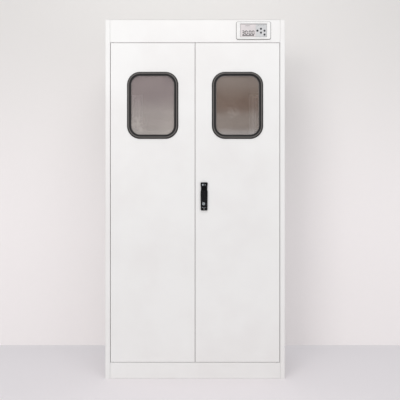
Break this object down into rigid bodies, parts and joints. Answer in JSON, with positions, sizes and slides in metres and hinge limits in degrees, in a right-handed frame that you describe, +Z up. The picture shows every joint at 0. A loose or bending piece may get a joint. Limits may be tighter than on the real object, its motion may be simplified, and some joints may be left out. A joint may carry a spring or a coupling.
{
  "type": "uv sterilizer cabinet",
  "caption": "Tall steel cabinet with two hinged doors, rubber-framed windows, a lock handle, shelves, ultraviolet lamps and a controller in the header.",
  "frame": {"origin": "middle of the base of the bounding box", "axes": "+Z up, doors face -Y, +X to the right seen from the front"},
  "size_m": [0.9, 0.4596, 1.8],
  "materials": {
    "painted_panel": "semi-gloss white powder coat",
    "stainless": "satin stainless wire and sheet",
    "lamp_quartz": "clear tube with metal caps",
    "white_plastic": "satin moulded plastic",
    "polished_reflector": "polished",
    "black_plastic": "satin moulded plastic",
    "galvanised": "zinc plated",
    "steel": "turned, lightly oiled",
    "lock_chrome": "satin chrome",
    "window_glass": "lightly tinted safety glass",
    "seal_rubber": "matt extruded rubber",
    "strip_rubber": "smooth extruded rubber",
    "grey_seal": "soft foam rubber",
    "display_lens": "clear window over a pale display",
    "grey_plastic": "satin keypad plate",
    "key_rubber": "moulded rubber keys",
    "circuit_board": "lacquered board"
  },
  "bodies": {
    "cabinet": {"side_panel_left": "painted_panel", "side_panel_right": "painted_panel", "back_panel": "painted_panel", "top_cover": "painted_panel", "header_fascia": "painted_panel", "plinth_front": "painted_panel", "chamber_floor": "painted_panel", "chamber_ceiling": "painted_panel", "side_rack_left": "stainless", "side_rack_right": "stainless", "wire_shelf_lower": "stainless", "wire_shelf_middle": "stainless", "wire_shelf_upper": "stainless", "uv_lamp_left": "lamp_quartz", "uv_lamp_right": "lamp_quartz", "lampholder_lower_left": "white_plastic", "lampholder_lower_right": "white_plastic", "lampholder_upper_left": "white_plastic", "lampholder_upper_right": "white_plastic", "lamp_reflector_left": "polished_reflector", "lamp_reflector_right": "polished_reflector", "fan_housing": "black_plastic", "ballast": "galvanised", "mains_inlet": "black_plastic", "controller_bezel": "white_plastic", "display_window": "display_lens", "keypad_plate": "grey_plastic", "controller_case": "black_plastic", "circuit_board": "circuit_board", "door_catch_left": "white_plastic", "door_catch_right": "white_plastic", "door_switch_left": "white_plastic", "door_switch_right": "white_plastic"},
    "left_door": {"left_door_skin": "painted_panel", "left_door_liner": "painted_panel", "left_window_glass": "window_glass", "left_window_seal": "seal_rubber", "left_seal_strip": "strip_rubber", "left_pin_lower": "steel", "left_pin_upper": "steel"},
    "right_door": {"right_door_skin": "painted_panel", "right_door_liner": "painted_panel", "right_window_glass": "window_glass", "right_window_seal": "seal_rubber", "right_seal_strip": "strip_rubber", "right_pin_lower": "steel", "right_pin_upper": "steel", "meeting_seal": "grey_seal", "handle_housing": "black_plastic", "lock_case": "galvanised"},
    "lock": {"lock_cylinder": "lock_chrome", "lock_pinion": "steel"},
    "upper_rod": {"upper_rod": "galvanised"},
    "lower_rod": {"lower_rod": "galvanised"},
    "fan_rotor": {"fan_rotor": "black_plastic"},
    "key_left": {"key_left": "key_rubber"},
    "key_right": {"key_right": "key_rubber"},
    "key_up": {"key_up": "key_rubber"},
    "key_down": {"key_down": "key_rubber"},
    "key_power": {"key_power": "key_rubber"}
  },
  "joints": [
    {"name": "left_door_hinge", "type": "hinge", "parent": "cabinet", "child": "left_door", "pos_m": [-0.4115, -0.21385, 0.884], "axis": [0, 0, -1], "range_deg": [0, 110]},
    {"name": "right_door_hinge", "type": "hinge", "parent": "cabinet", "child": "right_door", "pos_m": [0.4115, -0.21385, 0.884], "axis": [0, 0, 1], "range_deg": [0, 110]},
    {"name": "lock_turn", "type": "hinge", "parent": "right_door", "child": "lock", "pos_m": [0.0425, -0.22135, 0.877], "axis": [0, 1, 0], "range_deg": [0, 90]},
    {"name": "upper_rod_slide", "type": "slide", "parent": "right_door", "child": "upper_rod", "axis": [0, 0, 1], "range_m": [0, 0.01414]},
    {"name": "lower_rod_slide", "type": "slide", "parent": "right_door", "child": "lower_rod", "axis": [0, 0, -1], "range_m": [0, 0.0142]},
    {"name": "fan_spin", "type": "hinge", "parent": "cabinet", "child": "fan_rotor", "pos_m": [-0.15, 0.05865, 1.69], "axis": [0, 0, 1], "continuous": true},
    {"name": "key_left_press", "type": "slide", "parent": "cabinet", "child": "key_left", "axis": [0, 1, 0], "range_m": [0, 0.0008], "stiffness_N_per_m": 600},
    {"name": "key_right_press", "type": "slide", "parent": "cabinet", "child": "key_right", "axis": [0, 1, 0], "range_m": [0, 0.0008], "stiffness_N_per_m": 600},
    {"name": "key_up_press", "type": "slide", "parent": "cabinet", "child": "key_up", "axis": [0, 1, 0], "range_m": [0, 0.0008], "stiffness_N_per_m": 600},
    {"name": "key_down_press", "type": "slide", "parent": "cabinet", "child": "key_down", "axis": [0, 1, 0], "range_m": [0, 0.0008], "stiffness_N_per_m": 600},
    {"name": "key_power_press", "type": "slide", "parent": "cabinet", "child": "key_power", "axis": [0, 1, 0], "range_m": [0, 0.0008], "stiffness_N_per_m": 600}
  ],
  "couplings": [
    {"joint": "lock_turn", "follows": "upper_rod_slide", "rad_per_m": 111.11},
    {"joint": "lower_rod_slide", "follows": "upper_rod_slide", "ratio": 1}
  ]
}
